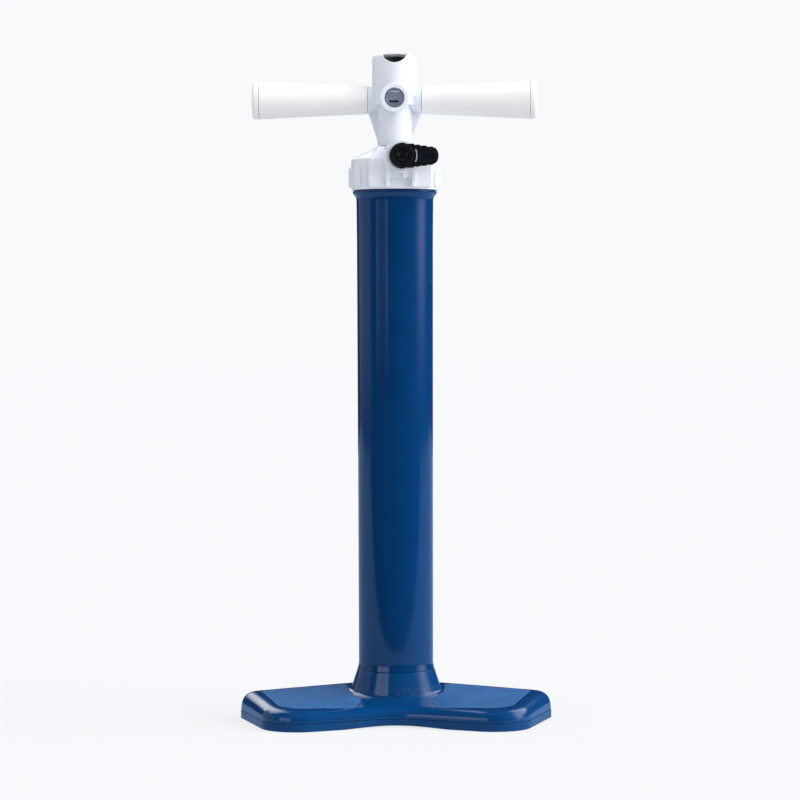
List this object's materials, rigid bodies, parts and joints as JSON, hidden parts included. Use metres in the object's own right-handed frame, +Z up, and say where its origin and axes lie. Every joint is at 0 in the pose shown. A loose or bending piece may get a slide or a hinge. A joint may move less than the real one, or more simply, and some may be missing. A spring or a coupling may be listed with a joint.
{
  "type": "upright hand pump",
  "caption": "Upright floor-standing hand air pump: tall barrel on a swept two-tread foot, screw cap with mode lever, T-handle with gauge and hose port.",
  "frame": {"origin": "on the barrel's axis, in the plane of the floor under the foot", "axes": "+Z up along the barrel, -Y towards the hose port and the lever, +X to the right seen from the front"},
  "size_m": [0.2856, 0.154, 0.609],
  "materials": {
    "blue_gloss": "gloss",
    "blue_satin": "satin gloss with fine-grained treads",
    "white_plastic": "satin",
    "grip_white": "matte",
    "black_plastic": "satin",
    "grey_plastic": "matte",
    "dial_white": "matte",
    "clear_lens": "clear",
    "black_rubber": "matte",
    "zinc_steel": "zinc plated",
    "rod_aluminium": "drawn",
    "brass": "machined"
  },
  "bodies": {
    "barrel": {"barrel_tube": "blue_gloss", "base_shell": "blue_satin", "base_plate": "blue_satin", "base_screw_1": "zinc_steel", "base_screw_2": "zinc_steel", "base_screw_3": "zinc_steel", "base_screw_4": "zinc_steel", "cylinder_foot": "grey_plastic", "foot_oring": "black_rubber", "foot_valve_cage": "grey_plastic", "cap": "white_plastic", "cap_gasket": "black_rubber", "rod_bush": "grey_plastic", "rod_seal": "black_rubber", "bumper": "black_rubber"},
    "foot_valve": {"foot_valve_disc": "black_rubber"},
    "selector": {"selector_lever": "black_plastic", "selector_screw": "zinc_steel", "selector_plug": "white_plastic", "selector_oring": "black_rubber"},
    "piston_ring": {"piston_seal": "black_rubber"},
    "handle": {"piston_body": "grey_plastic", "piston_crown": "grey_plastic", "piston_nut": "rod_aluminium", "piston_rod": "rod_aluminium", "hub": "white_plastic", "hub_screw": "zinc_steel", "grip_left": "grip_white", "grip_right": "grip_white", "grip_cap_left": "grip_white", "grip_cap_right": "grip_white", "port_insert": "grey_plastic", "gauge_case": "black_plastic", "gauge_stem": "brass", "gauge_oring": "black_rubber", "bourdon_tube": "brass", "gauge_dial": "dial_white", "gauge_lens": "clear_lens"},
    "piston_valve": {"piston_valve_disc": "black_rubber"},
    "needle": {"gauge_needle": "black_plastic"}
  },
  "joints": [
    {"name": "pump_stroke", "type": "slide", "parent": "barrel", "child": "piston_ring", "axis": [0, 0, 1], "range_m": [0, 0.428]},
    {"name": "handle_swivel", "type": "hinge", "parent": "piston_ring", "child": "handle", "pos_m": [0, 0, 0.5], "axis": [0, 0, 1], "continuous": true},
    {"name": "selector_turn", "type": "hinge", "parent": "barrel", "child": "selector", "pos_m": [0, 0, 0.513], "axis": [-0.1219, 0.9925, 0], "range_deg": [0, 90]},
    {"name": "gauge_needle_turn", "type": "hinge", "parent": "handle", "child": "needle", "pos_m": [0, 0, 0.6028], "axis": [0, 0, -1], "range_deg": [0, 270], "stiffness_Nm_per_rad": 0.0001},
    {"name": "foot_valve_lift", "type": "slide", "parent": "barrel", "child": "foot_valve", "axis": [0, 0, 1], "range_m": [0, 0.0016]},
    {"name": "piston_valve_lift", "type": "slide", "parent": "handle", "child": "piston_valve", "axis": [0, 0, 1], "range_m": [0, 0.003]}
  ]
}
